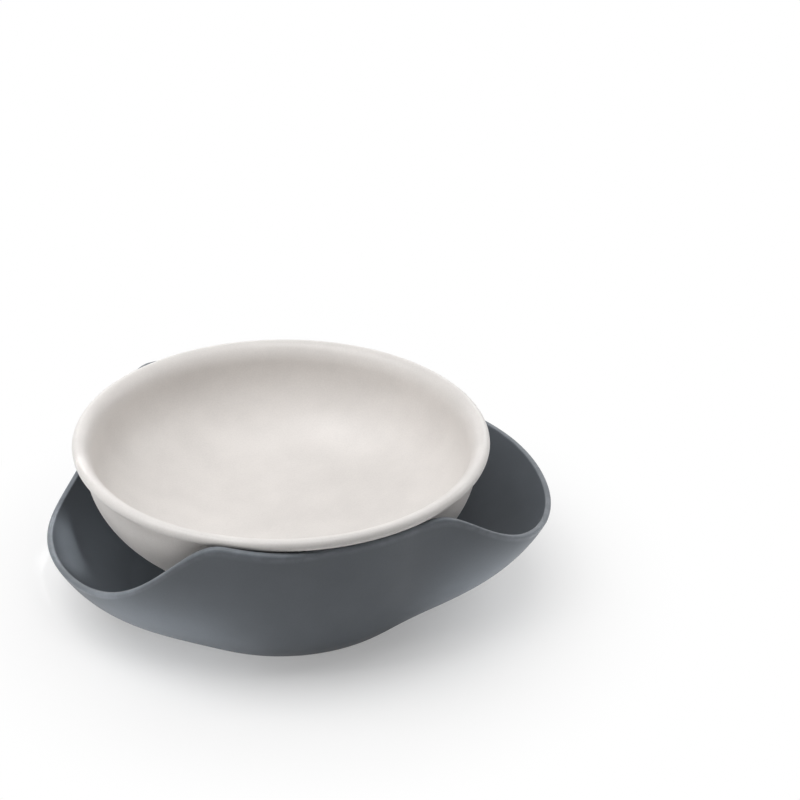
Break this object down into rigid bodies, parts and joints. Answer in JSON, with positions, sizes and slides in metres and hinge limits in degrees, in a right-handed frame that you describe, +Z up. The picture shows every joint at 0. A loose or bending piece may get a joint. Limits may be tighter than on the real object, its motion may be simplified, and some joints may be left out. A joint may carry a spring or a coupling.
{
  "type": "two-tier snack bowl",
  "caption": "Round serving bowl hung by its rolled rim in a lobed dish, whose dipped lips beside the bowl take stones and shells.",
  "frame": {"origin": "on the table, under the middle of the dish's length and width", "axes": "+X along the dish towards its long lobe, +Z up along the bowl's axis"},
  "size_m": [0.2024, 0.1644, 0.0673],
  "materials": {
    "dish_plastic": "satin slate grey",
    "bowl_plastic": "satin warm light grey"
  },
  "bodies": {
    "dish": {"lower_dish": "dish_plastic"},
    "bowl": {"upper_bowl": "bowl_plastic"}
  },
  "joints": [
    {"name": "bowl_lift", "type": "slide", "parent": "dish", "child": "bowl", "axis": [0, 0, 1], "range_m": [0, 0.07]}
  ]
}
